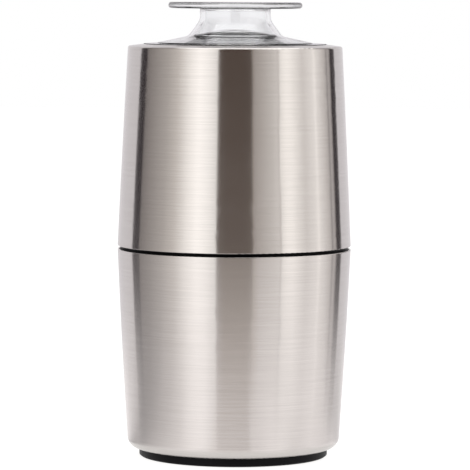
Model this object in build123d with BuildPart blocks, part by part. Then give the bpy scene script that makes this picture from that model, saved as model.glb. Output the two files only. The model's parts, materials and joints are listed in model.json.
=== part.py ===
from build123d import *
import os

# Electric dry grinder for coffee beans and spices, in millimetres.
# The origin is on the floor under the middle of the foot, +Z is up and the front faces -Y.

# Fits shared by all pieces
cut_overrun = 1.0
running_clearance = 0.03
sliding_clearance = 0.15
seat_clearance = 0.1
axial_clearance = 0.3
moving_clearance = 0.45

# Steel barrel in two halves, widest at the parting line
shell_wall = 0.7
shell_edge_round = 0.25
waist_radius = 50.0
lid_gap = 1.4
press_travel = 1.0
housing_height = 85.45
housing_foot_radius = 45.2
housing_bulge = 0.25
housing_foot_round = 4.6
housing_lip_radius = 36.8
sleeve_height = 85.25
sleeve_taper = 4.2
sleeve_bulge = 0.12
sleeve_lip_rise = 0.9
sleeve_shoulder_round = 0.9
sleeve_lip_margin = 4.4

# Base cover and the rubber ring under it
cover_radius = 40.4
cover_rim_thickness = 3.25
cover_edge_round = 0.4
cover_floor = 2.4
cover_spigot_rise = 1.5
cover_spigot_wall = 2.0
cover_boss_height = 5.4
foot_ring_inner = 35.6
foot_ring_outer = 39.8
foot_ring_height = 1.8
foot_ring_proud = 0.4
foot_ring_round = 0.3
vent_count = 12
vent_length = 15.0
vent_width = 3.0
vent_circle_radius = 18.0

# Screws
screw_cross_width = 0.9
screw_cross_share = 0.6
cover_screw_radius = 1.5
cover_screw_head_radius = 2.7
cover_screw_head_height = 1.8
cover_screw_recess = 4.2
cover_screw_grip = 9.0
mount_screw_radius = 1.5
mount_screw_head_radius = 3.2
mount_screw_head_height = 1.8
mount_screw_grip = 2.8
switch_screw_radius = 1.0
switch_screw_head_radius = 1.8
switch_screw_head_height = 1.1
switch_screw_grip = 1.6

# Deck that closes the housing and carries the motor
deck_recess = 0.3
deck_thickness = 2.6
deck_rim_depth = 8.0
deck_rim_wall = 2.0
deck_hole_radius = 4.6
collar_wall = 1.5
collar_height = 5.6
key_count = 3
key_radius = 1.1
key_start_angle = 30.0
post_spacing_x = 32.0
post_spacing_y = 55.4
post_radius = 3.2
mount_boss_radius = 4.2
mount_boss_height = 3.6
plunger_guide_length = 8.0
plunger_guide_radius = 4.2
switch_rib_thickness = 2.5

# Inlet of the mains lead
gland_height = 18.0
gland_bore_radius = 3.4
gland_body_radius = 5.6
gland_flange_radius = 8.0
gland_flange_thickness = 2.2
gland_edge_round = 0.8
gland_ring_radius = 6.8
gland_ring_thickness = 2.0
gland_ring_setback = 1.3
gland_tail = 3.0

# Motor
stator_length = 56.0
stator_width = 46.0
stator_corner = 9.0
rotor_radius = 14.5
air_gap = 0.5
pole_width = 14.0
pole_shoe_thickness = 2.5
pole_shoe_width = 23.4
pole_relief = 1.0
coil_thickness = 4.2
coil_side = 4.6
coil_clearance = 0.3
coil_corner = 2.5
bracket_thickness = 2.5
upper_spacer = 9.4
lower_spacer = 24.0
spacer_radius = 3.2
bush_radius = 5.5
bush_length = 7.0
bush_chamfer = 0.5
bush_boss_radius = 8.0
bush_boss_drop = 1.8
bracket_window_length = 12.0
bracket_window_width = 5.0
bracket_window_spacing = 24.0
bolt_radius = 1.6
bolt_head_radius = 3.0
bolt_head_height = 1.8
ear_count = 3
ear_start_angle = 30.0
ear_clearance = 4.2
ear_radius = 5.6
ear_width = 8.0
grommet_flange_radius = 4.4
grommet_flange = 1.2
grommet_waist_radius = 3.2
motor_shaft_radius = 3.0
shaft_stub = 0.5
slot_count = 12
slot_radius = 1.7
slot_setback = 3.5
slot_mouth_width = 1.2
winding_height = 6.3
winding_outer_radius = 13.2
winding_inner_radius = 5.0
winding_round = 2.2
commutator_radius = 10.5
commutator_length = 11.0
commutator_riser_radius = 11.4
commutator_riser = 1.5
commutator_slit_width = 0.6
commutator_slit_depth = 1.2
commutator_lift = 4.4
brush_width = 5.0
brush_height = 6.0
brush_length = 9.0
holder_wall = 1.6
holder_setback = 1.6
holder_length = 15.0
holder_foot_width = 6.0
brush_cap_thickness = 1.4
spring_wire_radius = 0.35
brush_spring_radius = 1.9
brush_spring_turns = 4
fan_radius = 24.0
fan_height = 8.5
fan_room = 7.5
fan_disc = 1.5
fan_hub_radius = 6.0
fan_blade_count = 9
fan_blade_thickness = 1.2
fan_blade_inner_radius = 9.0

# Dog coupling between motor and blade
coupling_disc = 2.0
coupling_hub_radius = 5.0
coupling_tooth_height = 5.5
coupling_tooth_width = 3.0
coupling_tooth_radius = 8.6
coupling_tooth_count = 4
driven_wall = 2.0
driven_tooth_inner_radius = 5.8

# Safety switch and the pins that work it
pin_radius = 1.5
pin_collar_radius = 2.3
pin_collar = 0.8
pin_boss_radius = 3.5
pin_boss_floor = 1.5
pin_guide_height = 1.2
pin_spring_radius = 1.95
pin_spring_turns = 2
plunger_radius = 1.8
plunger_length = 20.0
plunger_collar_radius = 2.7
plunger_collar = 1.2
switch_length = 20.0
switch_width = 6.4
switch_height = 10.0
switch_round = 0.6
switch_hole_spacing = 9.5
switch_hole_rise = 2.9
button_offset = 3.0
button_radius = 1.2
button_proud = 1.8
button_inside = 2.0
button_well_depth = 4.0
terminal_count = 3
terminal_spacing = 7.0
terminal_width = 3.2
terminal_thickness = 0.6
terminal_length = 6.0

# Grinding bowl and the base that it stands in
bowl_headroom = 15.45
bowl_wall = 0.7
bowl_corner_round = 6.0
bowl_bead_radius = 0.9
base_flange_width = 6.7
base_flange_thickness = 2.4
base_wall = 1.5
base_plate = 2.5
base_cup_height = 5.0
base_rib_count = 6
base_rib_thickness = 1.5
base_rib_height = 6.0
base_rib_inner_radius = 15.0
gasket_radius = 10.5
gasket_thickness = 1.0
bearing_radius = 6.5
bearing_flange_radius = 9.5
bearing_flange = 1.6
bearing_nut_radius = 9.5
bearing_nut_thickness = 3.0

# Blade and its shaft
blade_shaft_radius = 4.0
blade_collar_radius = 6.5
blade_collar = 0.8
blade_stud_radius = 3.0
blade_thickness = 1.5
blade_hub_radius = 8.0
blade_radius = 30.0
blade_root_width = 13.0
blade_bend_radius = 15.0
blade_bend_width = 11.5
blade_bend_sweep = 1.5
blade_tip_width = 6.5
blade_tip_thickness = 0.8
blade_tip_sweep = 4.5
blade_tip_lift = 6.0
blade_tip_drop = 1.4
blade_bevel_share = 0.35
blade_edge_share = 0.25
blade_nut_radius = 5.2
blade_nut_height = 3.6
blade_nut_dome_radius = 4.0
blade_nut_crown = 1.2

# Clear lid
dome_wall = 2.0
dome_top_wall = 2.0
disc_radius = 28.6
disc_thickness = 2.6
disc_edge_round = 1.1
neck_radius = 15.1
neck_height = 5.05
neck_root_round = 0.8
flare_height = 6.65
flare_reach = 5.0
flare_upper_round = 6.0
flare_lower_round = 3.5
brim_rise = 3.2
brim_step = 0.7
brim_step_round = 0.3
brim_ledge = 5.75
rim_proud = 0.4
rim_round = 0.8
dome_flange_round = 1.9
liner_wall = 2.0
sleeve_clearance = 0.25
skirt_clearance = 1.2
skirt_wall = 1.5
skirt_depth = 6.0
seal_groove_depth = 0.6
seal_height = 3.0
seal_rise = 1.2
seal_lip_share = 0.4
ring_land = 2.15
ring_web = 1.5
ring_spigot_wall = 1.4
ring_spigot_height = 3.0
ring_recess = 0.2
tab_width = 8.0
tab_clearance = 0.8

# Heights that follow from the sizes above
foot_height = foot_ring_proud + cover_rim_thickness
housing_top_z = foot_height + housing_height
sleeve_bottom_z = housing_top_z + lid_gap
sleeve_corner_z = sleeve_bottom_z + sleeve_height
sleeve_top_z = sleeve_corner_z + sleeve_lip_rise
deck_top_z = housing_top_z - deck_recess
deck_bottom_z = deck_top_z - deck_thickness
collar_top_z = deck_top_z + collar_height
cover_floor_z = foot_ring_proud + cover_floor
cover_boss_z = cover_floor_z + cover_boss_height
fan_z = cover_floor_z + fan_room
fan_top_z = fan_z + fan_height
lower_bush_z = fan_top_z + axial_clearance
lower_plate_top_z = lower_bush_z + bush_length - bush_boss_drop
lower_plate_z = lower_plate_top_z - bracket_thickness
upper_plate_top_z = deck_bottom_z - mount_boss_height - grommet_flange
upper_plate_z = upper_plate_top_z - bracket_thickness
upper_bush_z = upper_plate_z - bush_boss_drop
stator_z = lower_plate_top_z + lower_spacer
stator_top_z = upper_plate_z - upper_spacer
stator_stack = stator_top_z - stator_z
stator_mid_z = (stator_z + stator_top_z) / 2
commutator_z = lower_plate_top_z + commutator_lift
commutator_top_z = commutator_z + commutator_length
brush_z = commutator_z + (commutator_length - commutator_riser) / 2
coupling_z = deck_top_z + moving_clearance
drive_disc_top_z = coupling_z + coupling_disc
drive_top_z = drive_disc_top_z + coupling_tooth_height
driven_z = drive_disc_top_z + moving_clearance
driven_disc_z = drive_top_z + moving_clearance
driven_top_z = driven_disc_z + coupling_disc
bearing_nut_z = driven_top_z + moving_clearance
base_plate_z = bearing_nut_z + bearing_nut_thickness
bowl_z = base_plate_z + base_plate
bowl_rim_z = sleeve_corner_z - bowl_headroom
gasket_z = bowl_z + bowl_wall
bearing_flange_z = gasket_z + gasket_thickness
blade_collar_z = bearing_flange_z + bearing_flange + axial_clearance
blade_z = blade_collar_z + blade_collar
blade_nut_z = blade_z + blade_thickness
tab_z = collar_top_z + press_travel + moving_clearance
liner_z = tab_z + ring_web
rim_z = sleeve_top_z + rim_proud
flare_bottom_z = rim_z + brim_rise
flare_top_z = flare_bottom_z + flare_height
disc_z = flare_top_z + neck_height
dome_top_z = disc_z + disc_thickness
plunger_z = deck_top_z - plunger_length
switch_top_z = plunger_z - button_proud
switch_z = switch_top_z - switch_height
pin_boss_top_z = tab_z - press_travel - axial_clearance
pin_guide_z = pin_boss_top_z - pin_guide_height
pin_collar_z = pin_guide_z - pin_collar
pin_floor_z = deck_top_z + pin_boss_floor

# Radii that follow from the sizes above
wall_inset = shell_wall + sleeve_clearance
sleeve_top_radius = waist_radius - sleeve_taper
ring_inner = waist_radius - wall_inset - ring_land
collar_outer = ring_inner - moving_clearance
collar_inner = collar_outer - collar_wall
base_flange_radius = collar_inner - sliding_clearance
base_outer = base_flange_radius - base_flange_width
base_inner = base_outer - base_wall
bowl_radius = base_inner - seat_clearance
bowl_inner = bowl_radius - bowl_wall
skirt_radius = bowl_inner - skirt_clearance
sleeve_mouth_radius = skirt_radius + sleeve_lip_margin
rim_radius = sleeve_mouth_radius - sleeve_clearance
brim_radius = rim_radius - brim_ledge
flare_radius = neck_radius + flare_reach
stator_bore = rotor_radius + air_gap
shoe_radius = stator_bore + pole_shoe_thickness
coil_inner_x = shoe_radius + coil_clearance
coil_outer_x = coil_inner_x + coil_thickness
coil_hole_width = pole_width + 2 * coil_clearance
coil_hole_height = stator_stack + 2 * coil_clearance
bolt_offset = (stator_bore + pole_relief + stator_width / 2) / 2
slot_circle_radius = rotor_radius - slot_setback
driven_inner = coupling_tooth_radius + moving_clearance
pin_offset = base_flange_radius - seat_clearance - pin_boss_radius
switch_face_y = pin_offset + switch_width / 2
switch_back_y = pin_offset - switch_width / 2
holder_x = commutator_radius + holder_setback

UPWARD = (Align.CENTER, Align.CENTER, Align.MIN)
DOWNWARD = (Align.CENTER, Align.CENTER, Align.MAX)


def barrel_radius(share, low_radius, high_radius, bulge):
    """Radius of a slightly bulged cone at a share of its height."""
    return low_radius + (high_radius - low_radius) * share + 4 * bulge * share * (1 - share)


def housing_radius(z):
    """Outside radius of the lower half of the barrel at a height."""
    share = (z - foot_height) / housing_height
    return barrel_radius(share, housing_foot_radius, waist_radius, housing_bulge)


def sleeve_radius(z):
    """Outside radius of the upper half of the barrel at a height."""
    share = (z - sleeve_bottom_z) / sleeve_height
    return barrel_radius(share, waist_radius, sleeve_top_radius, sleeve_bulge)


def outline(corners):
    """Closed outline through (radius, height) corners, rounded where a third value gives a rounding."""
    with BuildSketch(Plane.XZ) as shape:
        with BuildLine():
            Polyline(*[corner[:2] for corner in corners], close=True)
        make_face()
        for radius, height, *rounding in corners:
            if rounding:
                fillet(shape.vertices().sort_by_distance((radius, height))[0], rounding[0])
    return shape.sketch


def tube_outline(inner, outer, low, high):
    """Outline of a plain ring about the Z axis."""
    return outline([(inner, low), (outer, low), (outer, high), (inner, high)])


def inset_corner(before, corner, after, distance):
    """A corner moved to the right of the way along its outline, the same distance from both sides."""
    step_in = (Vector(*corner) - Vector(*before)).normalized()
    step_out = (Vector(*after) - Vector(*corner)).normalized()
    sides = Vector(step_in.Y, -step_in.X) + Vector(step_out.Y, -step_out.X)
    moved = Vector(*corner) + sides * (distance / (1 + step_in.dot(step_out)))
    return moved.X, moved.Y


def screw(shank_radius, shank_length, head_radius, head_height):
    """Cross-head screw with its seat at the origin, its shank up and its head down."""
    with BuildPart() as piece:
        Cylinder(shank_radius, shank_length, align=UPWARD)
        Cylinder(head_radius, head_height, align=DOWNWARD)
        fillet(piece.edges().group_by(Axis.Z)[0], head_height / 3)
        with BuildSketch(Plane.XY.offset(-head_height)):
            Rectangle(head_radius * 2 * screw_cross_share, screw_cross_width)
            Rectangle(screw_cross_width, head_radius * 2 * screw_cross_share)
        extrude(amount=head_height * screw_cross_share, mode=Mode.SUBTRACT)
    return piece.part


def coil_spring(mean_radius, length, turns):
    """Compression spring along +Z from the origin, wound inside its length."""
    lead = length - 2 * spring_wire_radius
    with BuildPart() as piece:
        with BuildLine(Plane.XY.offset(spring_wire_radius)) as path:
            Helix(lead / turns, lead, mean_radius)
        with BuildSketch(path.line ^ 0):
            Circle(spring_wire_radius)
        sweep()
    return piece.part


# Radii that follow from the barrel's outline
deck_rim_z = deck_top_z - deck_rim_depth
deck_rim_outer = housing_radius(deck_rim_z) - shell_wall - seat_clearance
deck_rim_inner = deck_rim_outer - deck_rim_wall
ear_circle_radius = deck_rim_inner - ear_radius - ear_clearance

# Lower half of the barrel
with BuildPart() as housing_shell:
    housing_mid_z = (foot_height + housing_top_z) / 2
    housing_mid_radius = housing_radius(housing_mid_z)
    foot_corner = (housing_foot_radius, foot_height)
    foot_corner_inside = (housing_foot_radius - shell_wall, foot_height + shell_wall)
    with BuildSketch(Plane.XZ) as housing_wall:
        with BuildLine():
            lip = Line((housing_lip_radius, foot_height), foot_corner)
            ThreePointArc(foot_corner, (housing_mid_radius, housing_mid_z), (waist_radius, housing_top_z))
            top_edge = Line((waist_radius, housing_top_z), (waist_radius - shell_wall, housing_top_z))
            ThreePointArc(top_edge @ 1, (housing_mid_radius - shell_wall, housing_mid_z), foot_corner_inside)
            Polyline(foot_corner_inside, (housing_lip_radius, foot_height + shell_wall), lip @ 0)
        make_face()
        fillet(housing_wall.vertices().sort_by_distance(foot_corner)[0], housing_foot_round)
        fillet(housing_wall.vertices().sort_by_distance(foot_corner_inside)[0], housing_foot_round - shell_wall)
        for corner_radius in (waist_radius, waist_radius - shell_wall):
            corner = housing_wall.vertices().sort_by_distance((corner_radius, housing_top_z))[0]
            fillet(corner, shell_edge_round)
    revolve(axis=Axis.Z)
    with BuildSketch(Plane.XZ.offset(-housing_radius(gland_height) - cut_overrun)):
        with Locations((0, gland_height)):
            Circle(gland_body_radius + seat_clearance)
    extrude(amount=housing_radius(gland_height) / 2, mode=Mode.SUBTRACT)

# Upper half of the barrel, fixed to the lid
with BuildPart() as lid_sleeve:
    sleeve_mid_z = (sleeve_bottom_z + sleeve_corner_z) / 2
    sleeve_mid_radius = sleeve_radius(sleeve_mid_z)
    shoulder = (sleeve_top_radius, sleeve_corner_z)
    shoulder_inside = (sleeve_top_radius - shell_wall, sleeve_corner_z - shell_wall)
    with BuildSketch(Plane.XZ) as sleeve_wall:
        with BuildLine():
            bottom_edge = Line((waist_radius - shell_wall, sleeve_bottom_z), (waist_radius, sleeve_bottom_z))
            ThreePointArc(bottom_edge @ 1, (sleeve_mid_radius, sleeve_mid_z), shoulder)
            Polyline(
                shoulder,
                (sleeve_mouth_radius, sleeve_top_z),
                (sleeve_mouth_radius, sleeve_top_z - shell_wall),
                shoulder_inside,
            )
            ThreePointArc(shoulder_inside, (sleeve_mid_radius - shell_wall, sleeve_mid_z), bottom_edge @ 0)
        make_face()
        fillet(sleeve_wall.vertices().sort_by_distance(shoulder)[0], sleeve_shoulder_round)
        fillet(sleeve_wall.vertices().sort_by_distance(shoulder_inside)[0], sleeve_shoulder_round - shell_wall)
        for corner_radius in (waist_radius, waist_radius - shell_wall):
            corner = sleeve_wall.vertices().sort_by_distance((corner_radius, sleeve_bottom_z))[0]
            fillet(corner, shell_edge_round)
    revolve(axis=Axis.Z)

# Deck with collar, keys, posts and bosses
with BuildPart() as top_deck:
    revolve(
        outline([
            (deck_hole_radius, deck_top_z),
            (housing_radius(deck_top_z) - shell_wall - seat_clearance, deck_top_z),
            (deck_rim_outer, deck_rim_z),
            (deck_rim_inner, deck_rim_z),
            (deck_rim_inner, deck_bottom_z),
            (deck_hole_radius, deck_bottom_z),
        ])
    )
    revolve(tube_outline(collar_inner, collar_outer, deck_bottom_z, collar_top_z))
    with BuildSketch(Plane.XY.offset(deck_top_z)):
        with PolarLocations(collar_inner, key_count, key_start_angle):
            Circle(key_radius)
    extrude(amount=collar_height)
    with BuildSketch(Plane.XY.offset(cover_boss_z)):
        with GridLocations(post_spacing_x, post_spacing_y, 2, 2):
            Circle(post_radius)
    extrude(amount=deck_bottom_z - cover_boss_z)
    with BuildSketch(Plane.XY.offset(deck_bottom_z - mount_boss_height)):
        with PolarLocations(ear_circle_radius, ear_count, ear_start_angle):
            Circle(mount_boss_radius)
    extrude(amount=mount_boss_height)
    with BuildSketch(Plane.XY.offset(deck_bottom_z - plunger_guide_length)):
        with Locations((0, pin_offset)):
            Circle(plunger_guide_radius)
    extrude(amount=plunger_guide_length)
    with Locations((button_offset, switch_back_y, switch_z)):
        Box(
            switch_length,
            switch_rib_thickness,
            deck_bottom_z - switch_z,
            align=(Align.CENTER, Align.MAX, Align.MIN),
        )
    with BuildSketch(Plane.XY.offset(cover_boss_z)):
        with GridLocations(post_spacing_x, post_spacing_y, 2, 2):
            Circle(cover_screw_radius + seat_clearance)
    extrude(amount=cover_screw_grip + cut_overrun, mode=Mode.SUBTRACT)
    with BuildSketch(Plane.XY.offset(deck_bottom_z - mount_boss_height)):
        with PolarLocations(ear_circle_radius, ear_count, ear_start_angle):
            Circle(mount_screw_radius + seat_clearance)
    extrude(amount=mount_screw_grip + cut_overrun, mode=Mode.SUBTRACT)
    with BuildSketch(Plane.XY.offset(deck_bottom_z - plunger_guide_length - cut_overrun)):
        with Locations((0, pin_offset)):
            Circle(plunger_radius + sliding_clearance)
    extrude(amount=plunger_guide_length + deck_thickness + 2 * cut_overrun, mode=Mode.SUBTRACT)
    with BuildSketch(Plane.XZ.offset(-switch_back_y - cut_overrun)):
        with Locations((button_offset, switch_z + switch_hole_rise)):
            with GridLocations(switch_hole_spacing, switch_hole_spacing, 2, 1):
                Circle(switch_screw_radius + seat_clearance)
    extrude(amount=switch_rib_thickness + 2 * cut_overrun, mode=Mode.SUBTRACT)

# Base cover with foot groove, vents and screw bosses
with BuildPart() as base_cover:
    spigot_radius = housing_lip_radius - seat_clearance
    spigot_top_z = foot_height + shell_wall + cover_spigot_rise
    revolve(
        outline([
            (0, foot_ring_proud),
            (cover_radius, foot_ring_proud, cover_edge_round),
            (cover_radius, foot_height),
            (spigot_radius, foot_height),
            (spigot_radius, spigot_top_z),
            (spigot_radius - cover_spigot_wall, spigot_top_z),
            (spigot_radius - cover_spigot_wall, cover_floor_z),
            (0, cover_floor_z),
        ])
    )
    with BuildSketch(Plane.XY.offset(cover_floor_z)):
        with GridLocations(post_spacing_x, post_spacing_y, 2, 2):
            Circle(post_radius)
    extrude(amount=cover_boss_height)
    revolve(
        tube_outline(
            foot_ring_inner - seat_clearance,
            foot_ring_outer + seat_clearance,
            foot_ring_proud - cut_overrun,
            foot_ring_height,
        ),
        mode=Mode.SUBTRACT,
    )
    with BuildSketch(Plane.XY.offset(foot_ring_proud - cut_overrun)):
        with PolarLocations(vent_circle_radius, vent_count):
            SlotOverall(vent_length, vent_width)
    extrude(amount=cover_floor + 2 * cut_overrun, mode=Mode.SUBTRACT)
    with BuildSketch(Plane.XY.offset(foot_ring_proud - cut_overrun)):
        with GridLocations(post_spacing_x, post_spacing_y, 2, 2):
            Circle(cover_screw_head_radius + sliding_clearance)
    extrude(amount=cover_screw_recess + cut_overrun, mode=Mode.SUBTRACT)
    with BuildSketch(Plane.XY.offset(foot_ring_proud)):
        with GridLocations(post_spacing_x, post_spacing_y, 2, 2):
            Circle(cover_screw_radius + seat_clearance)
    extrude(amount=cover_floor + cover_boss_height + cut_overrun, mode=Mode.SUBTRACT)

# Rubber ring under the base cover
with BuildPart() as foot_ring:
    revolve(
        outline([
            (foot_ring_inner, 0, foot_ring_round),
            (foot_ring_outer, 0, foot_ring_round),
            (foot_ring_outer, foot_ring_height),
            (foot_ring_inner, foot_ring_height),
        ])
    )

# Screws from the base cover into the deck's posts
cover_screw_z = foot_ring_proud + cover_screw_recess
cover_screw = screw(
    cover_screw_radius,
    cover_boss_z + cover_screw_grip - cover_screw_z,
    cover_screw_head_radius,
    cover_screw_head_height,
)
with BuildPart(Plane.XY.offset(cover_screw_z)) as cover_screws:
    with GridLocations(post_spacing_x, post_spacing_y, 2, 2):
        add(cover_screw)

# Inlet gland at the back, with a flange that follows the barrel
with BuildPart() as cord_gland:
    gland_axis = Axis((0, 0, gland_height), (0, 1, 0))
    gland_face_y = housing_radius(gland_height) + gland_flange_thickness
    gland_ring_y = housing_radius(gland_height) - shell_wall - gland_ring_setback
    gland_reach = gland_flange_radius + cut_overrun
    with BuildSketch(Plane.XY.offset(gland_height)) as gland_flange:
        with Locations((0, gland_face_y)):
            Rectangle(gland_flange_radius, 2 * gland_flange_thickness, align=(Align.MIN, Align.MAX))
        fillet(gland_flange.vertices().sort_by_distance((gland_flange_radius, gland_face_y))[0], gland_edge_round)
    revolve(axis=gland_axis)
    revolve(
        outline([
            (0, gland_height - gland_reach),
            (housing_radius(gland_height - gland_reach) + seat_clearance, gland_height - gland_reach),
            (housing_radius(gland_height + gland_reach) + seat_clearance, gland_height + gland_reach),
            (0, gland_height + gland_reach),
        ]),
        mode=Mode.SUBTRACT,
    )
    with BuildSketch(Plane.XY.offset(gland_height)):
        with Locations((0, gland_ring_y)):
            Rectangle(gland_ring_radius, gland_ring_thickness, align=(Align.MIN, Align.MAX))
        with Locations((0, gland_face_y - gland_edge_round)):
            Rectangle(
                gland_body_radius,
                gland_face_y - gland_edge_round - gland_ring_y + gland_ring_thickness + gland_tail,
                align=(Align.MIN, Align.MAX),
            )
    revolve(axis=gland_axis)
    with BuildSketch(Plane.XZ.offset(-gland_face_y - cut_overrun)):
        with Locations((0, gland_height)):
            Circle(gland_bore_radius)
    extrude(amount=gland_face_y / 2, mode=Mode.SUBTRACT)

# Laminated stator with two poles
with BuildPart() as stator_core:
    with BuildSketch(Plane.XY.offset(stator_z)):
        RectangleRounded(stator_length, stator_width, stator_corner)
        Rectangle(
            2 * (coil_outer_x + coil_clearance),
            coil_hole_width + 2 * (coil_side + coil_clearance),
            mode=Mode.SUBTRACT,
        )
        Circle(stator_bore + pole_relief, mode=Mode.SUBTRACT)
        Rectangle(2 * (coil_outer_x + coil_clearance), pole_width)
        with BuildSketch(mode=Mode.PRIVATE) as pole_shoes:
            Circle(shoe_radius)
            Rectangle(2 * shoe_radius, pole_shoe_width, mode=Mode.INTERSECT)
        add(pole_shoes.sketch)
        Circle(stator_bore, mode=Mode.SUBTRACT)
        with GridLocations(2 * bolt_offset, 2 * bolt_offset, 1, 2):
            Circle(bolt_radius + seat_clearance, mode=Mode.SUBTRACT)
    extrude(amount=stator_stack)

# Field coils round the poles
with BuildPart() as field_coils:
    for coil_x in (-coil_outer_x, coil_inner_x):
        with BuildSketch(Plane.YZ.offset(coil_x)):
            with Locations((0, stator_mid_z)):
                RectangleRounded(
                    coil_hole_width + 2 * coil_side,
                    coil_hole_height + 2 * coil_side,
                    coil_corner,
                )
                Rectangle(coil_hole_width, coil_hole_height, mode=Mode.SUBTRACT)
        extrude(amount=coil_thickness)


def bracket(plate_z, boss_z, spacer_z, spacer_height, eared):
    """Motor bracket: plate, bush boss, two spacers to the stator and, on the upper one, three ears."""
    with BuildPart() as piece:
        with BuildSketch(Plane.XY.offset(plate_z)):
            RectangleRounded(stator_length, stator_width, stator_corner)
            if eared:
                with PolarLocations(ear_circle_radius, ear_count, ear_start_angle):
                    Circle(ear_radius)
                    Rectangle(ear_circle_radius, ear_width, align=(Align.MAX, Align.CENTER))
            with GridLocations(bracket_window_spacing, bracket_window_spacing, 1, 2):
                SlotOverall(bracket_window_length, bracket_window_width, mode=Mode.SUBTRACT)
        extrude(amount=bracket_thickness)
        with Locations((0, 0, boss_z)):
            Cylinder(bush_boss_radius, bush_length, align=UPWARD)
        with BuildSketch(Plane.XY.offset(spacer_z)):
            with GridLocations(2 * bolt_offset, 2 * bolt_offset, 1, 2):
                Circle(spacer_radius)
        extrude(amount=spacer_height)
        low_z = min(plate_z, spacer_z, boss_z) - cut_overrun
        height = bracket_thickness + spacer_height + bush_length + 2 * cut_overrun
        with BuildSketch(Plane.XY.offset(low_z)):
            Circle(bush_radius + seat_clearance)
            with GridLocations(2 * bolt_offset, 2 * bolt_offset, 1, 2):
                Circle(bolt_radius + seat_clearance)
            if eared:
                with PolarLocations(ear_circle_radius, ear_count, ear_start_angle):
                    Circle(grommet_waist_radius + seat_clearance)
        extrude(amount=height, mode=Mode.SUBTRACT)
    return piece


upper_bracket = bracket(upper_plate_z, upper_bush_z, stator_top_z, upper_spacer, True)
lower_bracket = bracket(lower_plate_z, lower_bush_z, lower_plate_top_z, lower_spacer, False)

# Plain bearings of the motor shaft
with BuildPart() as shaft_bushes:
    with Locations((0, 0, lower_bush_z), (0, 0, upper_bush_z)):
        Cylinder(bush_radius, bush_length, align=UPWARD)
    chamfer(shaft_bushes.edges().filter_by(GeomType.CIRCLE), bush_chamfer)
    Cylinder(motor_shaft_radius + running_clearance, upper_bush_z + bush_length, align=UPWARD, mode=Mode.SUBTRACT)

# Through bolts with their nuts
with BuildPart() as motor_bolts:
    with Locations((0, bolt_offset, lower_plate_z), (0, -bolt_offset, lower_plate_z)):
        Cylinder(bolt_radius, upper_plate_top_z - lower_plate_z + bolt_head_height, align=UPWARD)
        Cylinder(bolt_head_radius, bolt_head_height, align=DOWNWARD)
    with BuildSketch(Plane.XY.offset(upper_plate_top_z)):
        with GridLocations(2 * bolt_offset, 2 * bolt_offset, 1, 2):
            RegularPolygon(bolt_head_radius, 6)
    extrude(amount=bolt_head_height)

# Brush holders on the lower bracket
with BuildPart() as brush_holders:
    holder_width = brush_width + 2 * holder_wall
    holder_height = brush_height + 2 * holder_wall
    for facing in (Plane.YZ, Plane.YZ.rotated((0, 0, 180))):
        with BuildSketch(facing.offset(holder_x)):
            with Locations((0, brush_z)):
                Rectangle(holder_width, holder_height)
                Rectangle(brush_width + 2 * seat_clearance, brush_height + 2 * seat_clearance, mode=Mode.SUBTRACT)
            with Locations((0, brush_z - holder_height / 2)):
                Rectangle(
                    holder_foot_width,
                    brush_z - holder_height / 2 - lower_plate_top_z,
                    align=(Align.CENTER, Align.MAX),
                )
        extrude(amount=holder_length)

# Carbon brushes, hollowed to the commutator
with BuildPart() as carbon_brushes:
    for facing in (Plane.YZ, Plane.YZ.rotated((0, 0, 180))):
        with BuildSketch(facing.offset(commutator_radius / 2)):
            with Locations((0, brush_z)):
                Rectangle(brush_width, brush_height)
        extrude(amount=commutator_radius / 2 + brush_length)
    with Locations((0, 0, commutator_z)):
        Cylinder(commutator_radius + running_clearance, commutator_length, align=UPWARD, mode=Mode.SUBTRACT)

# Springs behind the brushes and the caps that hold them
brush_back_x = commutator_radius + brush_length
brush_spring = coil_spring(brush_spring_radius, holder_x + holder_length - brush_back_x, brush_spring_turns)
with BuildPart() as brush_springs:
    for side in (-1, 1):
        with Locations(Location((side * brush_back_x, 0, brush_z), (0, side * 90, 0))):
            add(brush_spring)
with BuildPart() as brush_caps:
    for facing in (Plane.YZ, Plane.YZ.rotated((0, 0, 180))):
        with BuildSketch(facing.offset(holder_x + holder_length)):
            with Locations((0, brush_z)):
                Rectangle(holder_width, holder_height)
        extrude(amount=brush_cap_thickness)

# Rubber grommets between the upper bracket and the deck
grommet_height = bracket_thickness + 2 * grommet_flange
grommet_z = upper_plate_z - grommet_flange
with BuildPart() as motor_grommets:
    with PolarLocations(ear_circle_radius, ear_count, ear_start_angle):
        with Locations((0, 0, grommet_z)):
            Cylinder(grommet_waist_radius, grommet_height, align=UPWARD)
            Cylinder(grommet_flange_radius, grommet_flange, align=UPWARD)
        with Locations((0, 0, upper_plate_top_z)):
            Cylinder(grommet_flange_radius, grommet_flange, align=UPWARD)
        with Locations((0, 0, grommet_z - cut_overrun)):
            Cylinder(
                mount_screw_radius + seat_clearance,
                grommet_height + 2 * cut_overrun,
                align=UPWARD,
                mode=Mode.SUBTRACT,
            )

# Screws through the grommets into the deck
mount_screw = screw(
    mount_screw_radius,
    grommet_height + mount_screw_grip,
    mount_screw_head_radius,
    mount_screw_head_height,
)
with BuildPart(Plane.XY.offset(grommet_z)) as mount_screws:
    with PolarLocations(ear_circle_radius, ear_count, ear_start_angle):
        add(mount_screw)

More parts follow.
